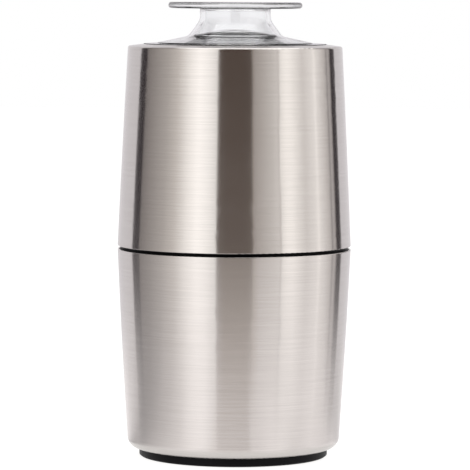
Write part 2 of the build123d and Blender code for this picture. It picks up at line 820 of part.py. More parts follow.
# Safety switch on the deck's rib
with BuildPart() as micro_switch:
    with Locations((button_offset, pin_offset, switch_z)):
        Box(switch_length, switch_width, switch_height, align=UPWARD)
    fillet(micro_switch.edges().filter_by(Axis.Z), switch_round)
    with Locations((0, pin_offset, switch_top_z - button_well_depth)):
        Cylinder(
            button_radius + sliding_clearance,
            button_well_depth + cut_overrun,
            align=UPWARD,
            mode=Mode.SUBTRACT,
        )
    with BuildSketch(Plane.XZ.offset(-switch_face_y - cut_overrun)):
        with Locations((button_offset, switch_z + switch_hole_rise)):
            with GridLocations(switch_hole_spacing, switch_hole_spacing, 2, 1):
                Circle(switch_screw_radius + seat_clearance)
    extrude(amount=switch_width + 2 * cut_overrun, mode=Mode.SUBTRACT)
with BuildPart(Plane.XY.offset(switch_z)) as switch_terminals:
    with Locations((button_offset, pin_offset)):
        with GridLocations(terminal_spacing, terminal_spacing, terminal_count, 1):
            Box(terminal_width, terminal_thickness, terminal_length, align=DOWNWARD)
switch_screw = screw(
    switch_screw_radius,
    switch_width + switch_screw_grip,
    switch_screw_head_radius,
    switch_screw_head_height,
)
with BuildPart(Plane.XZ.offset(-switch_face_y)) as switch_screws:
    with Locations((button_offset, switch_z + switch_hole_rise)):
        with GridLocations(switch_hole_spacing, switch_hole_spacing, 2, 1):
            add(switch_screw)

# Plunger in the deck and the switch's button below it
with BuildPart() as switch_plunger:
    with Locations((0, pin_offset, plunger_z)):
        Cylinder(plunger_radius, plunger_length, align=UPWARD)
    with Locations((0, pin_offset, deck_bottom_z - plunger_guide_length)):
        Cylinder(plunger_collar_radius, plunger_collar, align=DOWNWARD)
with BuildPart() as switch_button:
    with Locations((0, pin_offset, switch_top_z - button_inside)):
        Cylinder(button_radius, button_inside + button_proud, align=UPWARD)

# Rotor of the motor
with BuildPart() as motor_shaft:
    with Locations((0, 0, fan_z - shaft_stub)):
        Cylinder(motor_shaft_radius, drive_top_z - shaft_stub - fan_z, align=UPWARD)
    chamfer(motor_shaft.edges().filter_by(GeomType.CIRCLE), shaft_stub)
with BuildPart() as armature_core:
    with BuildSketch(Plane.XY.offset(stator_z)):
        Circle(rotor_radius)
        with PolarLocations(slot_circle_radius, slot_count):
            Circle(slot_radius, mode=Mode.SUBTRACT)
            Rectangle(
                rotor_radius,
                slot_mouth_width,
                align=(Align.MIN, Align.CENTER),
                mode=Mode.SUBTRACT,
            )
        Circle(motor_shaft_radius + running_clearance, mode=Mode.SUBTRACT)
    extrude(amount=stator_stack)
with BuildPart() as armature_winding:
    for end_z in (stator_z - seat_clearance - winding_height, stator_top_z + seat_clearance):
        revolve(
            outline([
                (winding_inner_radius, end_z, winding_round),
                (winding_outer_radius, end_z, winding_round),
                (winding_outer_radius, end_z + winding_height, winding_round),
                (winding_inner_radius, end_z + winding_height, winding_round),
            ])
        )
    with BuildSketch(Plane.XY.offset(stator_z - winding_height / 2)):
        with PolarLocations(slot_circle_radius, slot_count):
            Circle(slot_radius - seat_clearance)
    extrude(amount=stator_stack + winding_height)
with BuildPart() as commutator:
    revolve(tube_outline(motor_shaft_radius + running_clearance, commutator_radius, commutator_z, commutator_top_z))
    revolve(
        tube_outline(
            motor_shaft_radius + running_clearance,
            commutator_riser_radius,
            commutator_top_z - commutator_riser,
            commutator_top_z,
        )
    )
    with BuildSketch(Plane.XY.offset(commutator_z - cut_overrun)):
        with PolarLocations(commutator_radius - commutator_slit_depth, slot_count):
            Rectangle(commutator_radius, commutator_slit_width, align=(Align.MIN, Align.CENTER))
    extrude(amount=commutator_length + 2 * cut_overrun, mode=Mode.SUBTRACT)
with BuildPart() as cooling_fan:
    revolve(tube_outline(motor_shaft_radius + running_clearance, fan_hub_radius, fan_z, fan_top_z))
    revolve(tube_outline(motor_shaft_radius + running_clearance, fan_radius, fan_top_z - fan_disc, fan_top_z))
    with BuildSketch(Plane.XY.offset(fan_z)):
        with PolarLocations(fan_blade_inner_radius, fan_blade_count):
            Rectangle(
                fan_radius - fan_blade_inner_radius,
                fan_blade_thickness,
                align=(Align.MIN, Align.CENTER),
            )
    extrude(amount=fan_height - fan_disc)

# Dog coupling: teeth on the motor, a toothed cup under the blade
tooth_pitch = 360 / coupling_tooth_count
with BuildPart() as drive_coupling:
    with BuildSketch(Plane.XY.offset(coupling_z)):
        Circle(coupling_tooth_radius)
        Circle(motor_shaft_radius + running_clearance, mode=Mode.SUBTRACT)
    extrude(amount=coupling_disc)
    with BuildSketch(Plane.XY.offset(drive_disc_top_z)):
        with PolarLocations(0, coupling_tooth_count):
            Rectangle(coupling_tooth_radius, coupling_tooth_width, align=(Align.MIN, Align.CENTER))
        Circle(coupling_hub_radius)
        Circle(motor_shaft_radius + running_clearance, mode=Mode.SUBTRACT)
    extrude(amount=coupling_tooth_height)
    fillet(drive_coupling.edges().group_by(Axis.Z)[-1].filter_by(GeomType.LINE), coupling_tooth_width / 6)
with BuildPart() as driven_coupling:
    with BuildSketch(Plane.XY.offset(driven_z)):
        Circle(driven_inner + driven_wall)
        Circle(driven_inner, mode=Mode.SUBTRACT)
        with PolarLocations(driven_tooth_inner_radius, coupling_tooth_count, tooth_pitch / 2):
            Rectangle(
                driven_inner + driven_wall / 2 - driven_tooth_inner_radius,
                coupling_tooth_width,
                align=(Align.MIN, Align.CENTER),
            )
    extrude(amount=driven_disc_z - driven_z)
    with BuildSketch(Plane.XY.offset(driven_disc_z)):
        Circle(driven_inner + driven_wall)
        Circle(blade_shaft_radius + running_clearance, mode=Mode.SUBTRACT)
    extrude(amount=coupling_disc)

# Bowl of drawn steel with a rolled rim
with BuildPart() as bowl:
    revolve(
        outline([
            (bearing_radius + seat_clearance, bowl_z),
            (bowl_radius, bowl_z, bowl_corner_round),
            (bowl_radius, bowl_rim_z),
            (bowl_inner, bowl_rim_z),
            (bowl_inner, bowl_z + bowl_wall, bowl_corner_round - bowl_wall),
            (bearing_radius + seat_clearance, bowl_z + bowl_wall),
        ])
    )
    with BuildSketch(Plane.XZ):
        with Locations((bowl_inner + bowl_bead_radius, bowl_rim_z)):
            Circle(bowl_bead_radius)
    revolve(axis=Axis.Z)

# Moulded base of the bowl, which drops into the deck's collar
with BuildPart() as bowl_base:
    revolve(tube_outline(base_inner, base_flange_radius, deck_top_z, deck_top_z + base_flange_thickness))
    revolve(tube_outline(base_inner, base_outer, deck_top_z, bowl_z + base_cup_height))
    revolve(tube_outline(bearing_radius + seat_clearance, base_outer, base_plate_z, bowl_z))
    with BuildSketch(Plane.XY.offset(base_plate_z - base_rib_height)):
        with PolarLocations(base_rib_inner_radius, base_rib_count):
            Rectangle(
                base_outer - base_wall / 2 - base_rib_inner_radius,
                base_rib_thickness,
                align=(Align.MIN, Align.CENTER),
            )
    extrude(amount=base_rib_height)
    with Locations((0, pin_offset, deck_top_z)):
        Cylinder(pin_boss_radius, pin_boss_top_z - deck_top_z, align=UPWARD)
    with Locations((0, pin_offset, pin_floor_z)):
        Cylinder(
            pin_collar_radius + sliding_clearance,
            pin_boss_top_z - pin_floor_z + cut_overrun,
            align=UPWARD,
            mode=Mode.SUBTRACT,
        )
    with Locations((0, pin_offset, deck_top_z - cut_overrun)):
        Cylinder(
            pin_radius + sliding_clearance,
            pin_boss_floor + 2 * cut_overrun,
            align=UPWARD,
            mode=Mode.SUBTRACT,
        )
    with BuildSketch(Plane.XY.offset(deck_top_z - cut_overrun)):
        with PolarLocations(collar_inner, key_count, key_start_angle):
            Circle(key_radius + moving_clearance)
    extrude(amount=base_flange_thickness + 2 * cut_overrun, mode=Mode.SUBTRACT)

# Seal and bearing through the bowl's floor
with BuildPart() as bowl_gasket:
    revolve(tube_outline(bearing_radius + seat_clearance, gasket_radius, gasket_z, bearing_flange_z))
with BuildPart() as bearing_bush:
    bearing_bore = blade_shaft_radius + running_clearance
    revolve(
        outline([
            (bearing_bore, bearing_nut_z),
            (bearing_radius, bearing_nut_z),
            (bearing_radius, bearing_flange_z),
            (bearing_flange_radius, bearing_flange_z),
            (bearing_flange_radius, bearing_flange_z + bearing_flange),
            (bearing_bore, bearing_flange_z + bearing_flange),
        ])
    )
with BuildPart() as bearing_nut:
    with BuildSketch(Plane.XY.offset(bearing_nut_z)):
        RegularPolygon(bearing_nut_radius, 6)
        Circle(bearing_radius + seat_clearance, mode=Mode.SUBTRACT)
    extrude(amount=bearing_nut_thickness)

# Interlock pin in the bowl's base, with its spring and guide
with BuildPart() as interlock_pin:
    with Locations((0, pin_offset, deck_top_z)):
        Cylinder(pin_radius, tab_z - deck_top_z, align=UPWARD)
    with Locations((0, pin_offset, pin_collar_z)):
        Cylinder(pin_collar_radius, pin_collar, align=UPWARD)
with BuildPart() as pin_guide:
    with Locations((0, pin_offset, pin_guide_z)):
        Cylinder(pin_collar_radius + sliding_clearance - seat_clearance, pin_guide_height, align=UPWARD)
        Cylinder(pin_radius + sliding_clearance, pin_guide_height, align=UPWARD, mode=Mode.SUBTRACT)
pin_spring = coil_spring(pin_spring_radius, pin_collar_z - pin_floor_z, pin_spring_turns)
with BuildPart() as interlock_spring:
    with Locations((0, pin_offset, pin_floor_z)):
        add(pin_spring)

# Blade shaft with its collar and stud
with BuildPart() as blade_shaft:
    with Locations((0, 0, driven_disc_z)):
        Cylinder(blade_shaft_radius, blade_collar_z - driven_disc_z, align=UPWARD)
    with Locations((0, 0, blade_collar_z)):
        Cylinder(blade_collar_radius, blade_collar, align=UPWARD)
    with Locations((0, 0, blade_z)):
        Cylinder(blade_stud_radius, blade_thickness + blade_nut_height, align=UPWARD)


def blade_section(width, thickness):
    """Section across a blade wing, with a bevel ground along the leading edge."""
    return [
        (-width / 2, -thickness / 2),
        (width / 2, -thickness / 2),
        (width / 2, thickness * (blade_edge_share - 1 / 2)),
        (width * (1 / 2 - blade_bevel_share), thickness / 2),
        (-width / 2, thickness / 2),
    ]


def blade_wing(heading, tip_rise):
    """One wing lofted from the hub over a bend to its tip, swept back and set up or down."""
    stations = (
        (0, 0, 0, blade_root_width, blade_thickness),
        (blade_bend_radius, -blade_bend_sweep, 0, blade_bend_width, blade_thickness),
        (blade_radius, -blade_tip_sweep, tip_rise, blade_tip_width, blade_tip_thickness),
    )
    with BuildPart() as piece:
        for reach, sweep_back, rise, width, thickness in stations:
            middle = Vector(reach, sweep_back, rise).rotate(Axis.Z, heading)
            along = Vector(1, 0, 0).rotate(Axis.Z, heading)
            across = Vector(0, 1, 0).rotate(Axis.Z, heading)
            with BuildSketch(Plane(middle + Vector(0, 0, blade_z + blade_thickness / 2), across, along)):
                with BuildLine():
                    Polyline(*blade_section(width, thickness), close=True)
                make_face()
        loft(ruled=True)
    return piece.part


# Twin blade, one wing bent up and one bent down
lifted_wing = blade_wing(0, blade_tip_lift)
dropped_wing = blade_wing(180, -blade_tip_drop)
with BuildPart() as blade:
    add(lifted_wing)
    add(dropped_wing)
    with BuildSketch(Plane.XY.offset(blade_z)):
        Circle(blade_hub_radius)
    extrude(amount=blade_thickness)
    with BuildSketch(Plane.XY.offset(blade_z - cut_overrun)):
        Circle(blade_stud_radius + seat_clearance)
    extrude(amount=blade_thickness + 2 * cut_overrun, mode=Mode.SUBTRACT)
with BuildPart() as blade_nut:
    with BuildSketch(Plane.XY.offset(blade_nut_z)):
        RegularPolygon(blade_nut_radius, 6)
    extrude(amount=blade_nut_height)
    revolve(
        outline([
            (0, blade_nut_z),
            (blade_nut_dome_radius, blade_nut_z),
            (blade_nut_dome_radius, blade_nut_z + blade_nut_height + blade_nut_crown, blade_nut_crown),
            (0, blade_nut_z + blade_nut_height + blade_nut_crown),
        ])
    )
    with Locations((0, 0, blade_nut_z)):
        Cylinder(blade_stud_radius + seat_clearance, blade_nut_height, align=UPWARD, mode=Mode.SUBTRACT)

# Clear dome: disc, hollow neck, flare, brim, a skirt into the bowl and a flange under the steel lip
ledge_z = sleeve_top_z - shell_wall - seat_clearance
ledge_corner_z = sleeve_corner_z - shell_wall - seat_clearance
ceiling_z = ledge_corner_z - dome_wall
with BuildPart() as lid_dome:
    brim_edge = (brim_radius, rim_z + brim_step)
    flare_foot = (flare_radius, flare_bottom_z)
    flare_head = (neck_radius, flare_top_z)
    flare_foot_inside = inset_corner(flare_head, flare_foot, brim_edge, dome_wall)
    flare_head_inside = inset_corner((neck_radius, disc_z), flare_head, flare_foot, dome_wall)
    brim_slope = (flare_bottom_z - brim_edge[1]) / (brim_radius - flare_radius)
    rim_inside = rim_radius - dome_wall
    brim_inside_z = flare_foot_inside[1] - brim_slope * (rim_inside - flare_foot_inside[0])
    revolve(
        outline([
            (0, dome_top_z),
            (disc_radius, dome_top_z, disc_edge_round),
            (disc_radius, disc_z, disc_edge_round),
            (neck_radius, disc_z, neck_root_round),
            (*flare_head, flare_upper_round),
            (*flare_foot, flare_lower_round),
            (*brim_edge, brim_step_round),
            (brim_radius, rim_z),
            (rim_radius, rim_z, rim_round),
            (rim_radius, ledge_z),
            (sleeve_radius(ledge_corner_z) - wall_inset, ledge_corner_z, dome_flange_round),
            (sleeve_radius(ceiling_z) - wall_inset, ceiling_z),
            (rim_inside, ceiling_z),
            (rim_inside, brim_inside_z),
            (*flare_foot_inside, flare_lower_round + dome_wall),
            (*flare_head_inside, flare_upper_round + dome_wall),
            (neck_radius - dome_wall, dome_top_z - dome_top_wall),
            (0, dome_top_z - dome_top_wall),
        ])
    )
    skirt_z = bowl_rim_z - skirt_depth
    revolve(tube_outline(skirt_radius - skirt_wall, skirt_radius, skirt_z, rim_z))
    revolve(
        tube_outline(
            skirt_radius - seal_groove_depth,
            skirt_radius + cut_overrun,
            skirt_z + seal_rise,
            skirt_z + seal_rise + seal_height,
        ),
        mode=Mode.SUBTRACT,
    )

# Clear liner of the steel sleeve, which holds the dome's flange up against the lip
with BuildPart() as lid_liner:
    revolve(
        outline([
            (sleeve_radius(liner_z) - wall_inset, liner_z),
            (sleeve_radius(ceiling_z) - wall_inset, ceiling_z),
            (sleeve_radius(ceiling_z) - wall_inset - liner_wall, ceiling_z),
            (sleeve_radius(liner_z) - wall_inset - liner_wall, liner_z),
        ])
    )

# Silicone seal round the skirt, with two lips
with BuildPart() as lid_seal:
    seal_inner = skirt_radius - seal_groove_depth + seat_clearance
    seal_outer = bowl_inner - axial_clearance
    seal_valley = skirt_radius + seat_clearance
    seal_z = skirt_z + seal_rise
    seal_top_z = seal_z + seal_height
    revolve(
        outline([
            (seal_inner, seal_z),
            (seal_valley, seal_z),
            (seal_outer, seal_z + seal_height * seal_lip_share / 2),
            (seal_valley, seal_z + seal_height / 2),
            (seal_outer, seal_top_z - seal_height * seal_lip_share / 2),
            (seal_valley, seal_top_z),
            (seal_inner, seal_top_z),
        ])
    )

# Black carrier ring of the lid, with the tab that works the interlock pin
with BuildPart() as lid_ring:
    ring_z = sleeve_bottom_z + ring_recess
    spigot_outer = sleeve_radius(liner_z + ring_spigot_height) - wall_inset - liner_wall - seat_clearance
    spigot_inner = spigot_outer - ring_spigot_wall
    tab_inner = base_outer + tab_clearance
    revolve(
        outline([
            (ring_inner, ring_z),
            (sleeve_radius(ring_z) - wall_inset, ring_z),
            (sleeve_radius(liner_z) - wall_inset, liner_z),
            (spigot_outer, liner_z),
            (spigot_outer, liner_z + ring_spigot_height),
            (spigot_inner, liner_z + ring_spigot_height),
            (spigot_inner, tab_z),
            (ring_inner, tab_z),
        ])
    )
    with Locations((0, tab_inner, tab_z)):
        Box(
            tab_width,
            spigot_inner + ring_spigot_wall / 2 - tab_inner,
            ring_web + ring_spigot_height,
            align=(Align.CENTER, Align.MIN, Align.MIN),
        )

pieces = {
    "housing_shell": housing_shell,
    "top_deck": top_deck,
    "base_cover": base_cover,
    "foot_ring": foot_ring,
    "cover_screws": cover_screws,
    "cord_gland": cord_gland,
    "stator_core": stator_core,
    "field_coils": field_coils,
    "upper_bracket": upper_bracket,
    "lower_bracket": lower_bracket,
    "shaft_bushes": shaft_bushes,
    "motor_bolts": motor_bolts,
    "brush_holders": brush_holders,
    "carbon_brushes": carbon_brushes,
    "brush_springs": brush_springs,
    "brush_caps": brush_caps,
    "motor_grommets": motor_grommets,
    "mount_screws": mount_screws,
    "micro_switch": micro_switch,
    "switch_terminals": switch_terminals,
    "switch_screws": switch_screws,
    "switch_plunger": switch_plunger,
    "switch_button": switch_button,
    "motor_shaft": motor_shaft,
    "armature_core": armature_core,
    "armature_winding": armature_winding,
    "commutator": commutator,
    "cooling_fan": cooling_fan,
    "drive_coupling": drive_coupling,
    "driven_coupling": driven_coupling,
    "bowl": bowl,
    "bowl_base": bowl_base,
    "bowl_gasket": bowl_gasket,
    "bearing_bush": bearing_bush,
    "bearing_nut": bearing_nut,
    "interlock_pin": interlock_pin,
    "pin_guide": pin_guide,
    "interlock_spring": interlock_spring,
    "blade_shaft": blade_shaft,
    "blade": blade,
    "blade_nut": blade_nut,
    "lid_dome": lid_dome,
    "lid_liner": lid_liner,
    "lid_seal": lid_seal,
    "lid_sleeve": lid_sleeve,
    "lid_ring": lid_ring,
}
os.makedirs("parts", exist_ok=True)
for name, piece in pieces.items():
    piece.part.label = name
    export_step(piece.part, f"parts/{name}.step")
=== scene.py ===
import json
import math

import bmesh
import bpy
import numpy as np
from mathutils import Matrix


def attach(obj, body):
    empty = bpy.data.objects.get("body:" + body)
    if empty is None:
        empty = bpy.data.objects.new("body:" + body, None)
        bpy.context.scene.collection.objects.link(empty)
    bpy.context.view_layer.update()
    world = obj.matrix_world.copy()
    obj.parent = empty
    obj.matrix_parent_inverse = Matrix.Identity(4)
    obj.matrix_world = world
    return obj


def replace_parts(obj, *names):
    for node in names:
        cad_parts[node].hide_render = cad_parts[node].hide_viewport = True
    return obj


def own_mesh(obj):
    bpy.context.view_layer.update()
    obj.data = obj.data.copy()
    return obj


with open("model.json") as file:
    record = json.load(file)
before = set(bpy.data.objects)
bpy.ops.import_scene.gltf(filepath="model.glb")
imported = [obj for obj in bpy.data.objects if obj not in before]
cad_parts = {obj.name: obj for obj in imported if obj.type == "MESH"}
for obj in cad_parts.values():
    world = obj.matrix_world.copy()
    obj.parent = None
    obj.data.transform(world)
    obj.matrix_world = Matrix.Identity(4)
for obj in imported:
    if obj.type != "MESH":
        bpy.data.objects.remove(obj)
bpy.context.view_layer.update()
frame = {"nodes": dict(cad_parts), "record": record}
nodes = frame["nodes"]
finish_of = {part["node"]: part["material_slot"] for part in frame["record"]["subparts"]}

# Pieces are written in millimetres, the stage, the camera's place and patterns in metres
MM = 0.001

# One turn, in radians for shapes and waves and in degrees for azimuths
FULL_TURN = 2.0 * math.pi
FULL_CIRCLE = 360.0

# Most values of a noise lie between these two
NOISE_LOW = 0.3
NOISE_HIGH = 0.7


class Graph:
    """Short words for adding nodes to one node tree and joining them."""

    def __init__(self, tree):
        self.tree = tree

    def add(self, kind, inputs=None, **settings):
        item = self.tree.nodes.new(kind)
        for key, value in settings.items():
            setattr(item, key, value)
        for key, value in (inputs or {}).items():
            self.feed(item.inputs[key], value)
        return item

    def feed(self, socket, value):
        if isinstance(value, bpy.types.NodeSocket):
            self.tree.links.new(value, socket)
        else:
            socket.default_value = value

    def math(self, operation, first, second=0.0):
        return self.add("ShaderNodeMath", {0: first, 1: second}, operation=operation).outputs[0]

    def weigh(self, first, second, share):
        """Adds a share of the first value and the rest of the second."""
        most = self.math("MULTIPLY", first, share)
        rest = self.math("MULTIPLY", second, 1.0 - share)
        return self.math("ADD", most, rest)

    def span(self, value, low, high, start, end):
        """Carries value from the range low..high to the range start..end, held at both ends."""
        inputs = {"Value": value, "From Min": low, "From Max": high, "To Min": start, "To Max": end}
        return self.add("ShaderNodeMapRange", inputs).outputs["Result"]

    def noise_span(self, value, start, end):
        return self.span(value, NOISE_LOW, NOISE_HIGH, start, end)

    def ramp(self, value, *stops):
        item = self.add("ShaderNodeValToRGB", {"Fac": value})
        elements = item.color_ramp.elements
        while len(elements) < len(stops):
            elements.new(1.0)
        for element, (position, colour) in zip(elements, stops):
            element.position = position
            element.color = (*colour, 1.0)
        return item.outputs["Color"]

    def shades(self, value, dark, light, low=NOISE_LOW, high=NOISE_HIGH):
        """The dark colour where value is low, the light one where it is high."""
        return self.ramp(value, (low, dark), (high, light))

    def noise(self, vector, scale, detail=2.0, roughness=0.5):
        inputs = {"Vector": vector, "Scale": scale, "Detail": detail, "Roughness": roughness}
        return self.add("ShaderNodeTexNoise", inputs).outputs["Fac"]

    def stretch(self, vector, across, along):
        """Scales x and y by one value and z by another."""
        parts = self.add("ShaderNodeSeparateXYZ", {0: vector}).outputs
        inputs = {
            "X": self.math("MULTIPLY", parts["X"], across),
            "Y": self.math("MULTIPLY", parts["Y"], across),
            "Z": self.math("MULTIPLY", parts["Z"], along),
        }
        return self.add("ShaderNodeCombineXYZ", inputs).outputs[0]


def new_material(name):
    """A material with an empty node tree."""
    material = bpy.data.materials.new(name)
    material.use_nodes = True
    material.node_tree.nodes.clear()
    return material


# Effects that several finishes share

STREAK_AROUND_SHARE = 0.5
STREAK_ALONG_SHARE = 0.28
SLOW_GRAIN_SHARE = 0.04


def effect(name, inputs, outputs, build):
    """A node group with named inputs (vector or value) and value outputs, filled by build."""
    tree = bpy.data.node_groups.new(name, "ShaderNodeTree")
    for key, default in inputs.items():
        kind = "NodeSocketVector" if default is None else "NodeSocketFloat"
        socket = tree.interface.new_socket(key, in_out="INPUT", socket_type=kind)
        if default is not None:
            socket.default_value = default
    for key in outputs:
        tree.interface.new_socket(key, in_out="OUTPUT", socket_type="NodeSocketFloat")
    graph = Graph(tree)
    source = graph.add("NodeGroupInput").outputs
    results = build(graph, source)
    graph.add("NodeGroupOutput", dict(zip(outputs, results)))
    return tree


def build_brush_lines(graph, source):
    """Noise squeezed along z: fine lines that run round the axis, and broader streaks between them."""
    fine = graph.stretch(source["Vector"], source["Around"], source["Along"])
    lines = graph.noise(fine, scale=1.0, detail=3.0, roughness=0.65)
    broad_around = graph.math("MULTIPLY", source["Around"], STREAK_AROUND_SHARE)
    broad_along = graph.math("MULTIPLY", source["Along"], STREAK_ALONG_SHARE)
    broad = graph.stretch(source["Vector"], broad_around, broad_along)
    streaks = graph.noise(broad, scale=1.0)
    return lines, streaks


def build_mould_grain(graph, source):
    """Two sizes of noise: the spark-eroded skin of a mould and slow changes of gloss over it."""
    skin = graph.noise(source["Vector"], source["Scale"], detail=3.0, roughness=0.6)
    slow = graph.noise(source["Vector"], graph.math("MULTIPLY", source["Scale"], SLOW_GRAIN_SHARE))
    return skin, slow


def build_handling(graph, source):
    """Slow noise pushed to its ends: patches that were wiped or touched."""
    patches = graph.noise(source["Vector"], source["Scale"], detail=4.0, roughness=0.6)
    return (graph.span(patches, low=0.45, high=0.7, start=0.0, end=1.0),)


def build_stack_lines(graph, source):
    """A sine of the height over the pitch: the edges of stacked sheets or laid wires."""
    height = graph.add("ShaderNodeSeparateXYZ", {0: source["Vector"]}).outputs["Z"]
    turns = graph.math("DIVIDE", height, source["Pitch"])
    wave = graph.math("SINE", graph.math("MULTIPLY", turns, FULL_TURN))
    return (graph.span(wave, low=-1.0, high=1.0, start=0.0, end=1.0),)


BRUSH_LINES = effect(
    "brush_lines", {"Vector": None, "Around": 45.0, "Along": 6500.0}, ("Lines", "Streaks"),
    build_brush_lines,
)
MOULD_GRAIN = effect("mould_grain", {"Vector": None, "Scale": 2500.0}, ("Skin", "Slow"), build_mould_grain)
HANDLING = effect("handling", {"Vector": None, "Scale": 30.0}, ("Mask",), build_handling)
STACK_LINES = effect("stack_lines", {"Vector": None, "Pitch": 0.0005}, ("Line",), build_stack_lines)


# Finishes, kept by the names of their slots

FINISHES = {}
QUARTER_TURN = 0.25
BRUSH_DEPTH = 0.00002
SKIN_DEPTH = 0.00005
SHEET_DEPTH = 0.0001
WIRE_DEPTH = 0.00012
WAVE_DEPTH = 0.0002
SHEET_PITCH = 0.0005
WIRE_PITCH = 0.00045
CLEAR_IOR = 1.49


class Finish(Graph):
    """A material with one Principled shader, and the object's own coordinates for its patterns."""

    def __init__(self, name):
        material = new_material(name)
        super().__init__(material.node_tree)
        self.place = self.add("ShaderNodeTexCoord").outputs["Object"]
        self.shader = self.add("ShaderNodeBsdfPrincipled")
        self.add("ShaderNodeOutputMaterial", {"Surface": self.shader.outputs[0]})
        FINISHES[name] = material

    def use(self, tree, **inputs):
        item = self.add("ShaderNodeGroup", node_tree=tree)
        self.feed(item.inputs["Vector"], self.place)
        for key, value in inputs.items():
            self.feed(item.inputs[key], value)
        return item.outputs

    def set(self, **values):
        for key, value in values.items():
            self.feed(self.shader.inputs[key.replace("_", " ")], value)

    def rubbed(self, roughness, scale, extra):
        """A roughness, with some more of it where the piece was touched."""
        touched = self.use(HANDLING, Scale=scale)["Mask"]
        return self.math("ADD", roughness, self.math("MULTIPLY", touched, extra))

    def bump(self, height, strength, depth):
        inputs = {"Height": height, "Strength": strength, "Distance": depth}
        self.feed(self.shader.inputs["Normal"], self.add("ShaderNodeBump", inputs).outputs[0])


def turned_metal(name, dark, light, rough, around, along, bump, anisotropy):
    """Metal brushed or turned round its axis, so that it spreads light along the axis."""
    finish = Finish(name)
    lines = finish.use(BRUSH_LINES, Around=around, Along=along)
    mix = finish.weigh(lines["Lines"], lines["Streaks"], share=0.88)
    low, high = rough
    finish.set(
        Base_Color=finish.shades(mix, dark, light, low=0.32, high=0.68),
        Metallic=1.0,
        Roughness=finish.rubbed(finish.noise_span(mix, high, low), scale=28.0, extra=0.02),
        Anisotropic=anisotropy,
        Anisotropic_Rotation=QUARTER_TURN,
        Tangent=finish.add("ShaderNodeTangent", direction_type="RADIAL", axis="Z").outputs[0],
    )
    finish.bump(lines["Lines"], bump, BRUSH_DEPTH)


def plain_metal(name, dark, light, rough, scale, bump):
    """Cast, plated or stamped metal with a fine skin and slow changes of gloss."""
    finish = Finish(name)
    grain = finish.use(MOULD_GRAIN, Scale=scale)
    finish.set(
        Base_Color=finish.shades(grain["Slow"], dark, light),
        Metallic=1.0,
        Roughness=finish.rubbed(finish.noise_span(grain["Skin"], *rough), scale=60.0, extra=0.05),
    )
    finish.bump(grain["Skin"], bump, SKIN_DEPTH)


def moulded(name, dark, light, rough, scale, bump, shine=0.5):
    """Plastic or rubber with the skin of its mould. The shine is the plain strength of its reflection."""
    finish = Finish(name)
    grain = finish.use(MOULD_GRAIN, Scale=scale)
    finish.set(
        Base_Color=finish.shades(grain["Skin"], dark, light, high=0.75),
        Roughness=finish.rubbed(finish.noise_span(grain["Slow"], *rough), scale=45.0, extra=0.06),
        Specular_IOR_Level=shine,
    )
    finish.bump(grain["Skin"], bump, SKIN_DEPTH)


def stacked_sheets(name, dark, light, rough):
    """Electrical sheet: thin stamped layers, blued, with a line between each two."""
    finish = Finish(name)
    line = finish.use(STACK_LINES, Pitch=SHEET_PITCH)["Line"]
    grain = finish.use(MOULD_GRAIN, Scale=900.0)
    shade = finish.weigh(line, grain["Skin"], share=0.6)
    finish.set(
        Base_Color=finish.shades(shade, dark, light, low=0.2, high=0.8),
        Metallic=0.9,
        Roughness=finish.noise_span(grain["Slow"], *rough),
    )
    finish.bump(line, strength=0.35, depth=SHEET_DEPTH)


def wound_copper(name, dark, light, rough, coat):
    """Enamelled copper: laid turns that show as lines, with deeper colour between them."""
    finish = Finish(name)
    line = finish.use(STACK_LINES, Pitch=WIRE_PITCH)["Line"]
    lines = finish.use(BRUSH_LINES, Around=220.0, Along=2200.0)
    shade = finish.weigh(line, lines["Lines"], share=0.6)
    finish.set(
        Base_Color=finish.shades(shade, dark, light, low=0.2, high=0.8),
        Metallic=0.95,
        Roughness=finish.noise_span(lines["Streaks"], *rough),
        Coat_Weight=finish.noise_span(lines["Streaks"], *coat),
        Coat_Roughness=0.18,
    )
    finish.bump(shade, strength=0.4, depth=WIRE_DEPTH)


def clear_moulding(name, dark, light, rough):
    """Clear polymer: nearly smooth, with faint wipe marks and a very slight waviness from the mould."""
    finish = Finish(name)
    touched = finish.use(HANDLING, Scale=70.0)["Mask"]
    grain = finish.use(MOULD_GRAIN, Scale=900.0)
    low, high = rough
    finish.set(
        Base_Color=finish.shades(grain["Slow"], dark, light),
        Roughness=finish.span(touched, 0.0, 1.0, low, high),
        IOR=CLEAR_IOR,
        Transmission_Weight=1.0,
    )
    finish.bump(grain["Slow"], strength=0.03, depth=WAVE_DEPTH)


turned_metal(
    "brushed_steel", dark=(0.605, 0.577, 0.555), light=(0.68, 0.652, 0.63), rough=(0.185, 0.22),
    around=34.0, along=5600.0, bump=0.05, anisotropy=1.0,
)
turned_metal(
    "bowl_steel", dark=(0.58, 0.57, 0.56), light=(0.72, 0.71, 0.70), rough=(0.16, 0.23),
    around=60.0, along=5000.0, bump=0.08, anisotropy=0.8,
)
turned_metal(
    "blade_steel", dark=(0.60, 0.60, 0.60), light=(0.76, 0.76, 0.75), rough=(0.14, 0.24),
    around=900.0, along=900.0, bump=0.06, anisotropy=0.0,
)
clear_moulding(
    "clear_plastic", dark=(0.965, 0.97, 0.972), light=(0.985, 0.987, 0.988), rough=(0.012, 0.035),
)
moulded(
    "black_plastic", dark=(0.004, 0.004, 0.005), light=(0.010, 0.010, 0.011), rough=(0.34, 0.46),
    scale=2600.0, bump=0.18, shine=0.08,
)
moulded(
    "black_rubber", dark=(0.004, 0.004, 0.004), light=(0.011, 0.011, 0.012), rough=(0.62, 0.78),
    scale=1500.0, bump=0.25, shine=0.12,
)
moulded(
    "silicone", dark=(0.55, 0.55, 0.54), light=(0.68, 0.68, 0.66), rough=(0.42, 0.55),
    scale=1800.0, bump=0.08,
)
moulded(
    "white_plastic", dark=(0.66, 0.65, 0.62), light=(0.76, 0.75, 0.72), rough=(0.36, 0.48),
    scale=2200.0, bump=0.10,
)
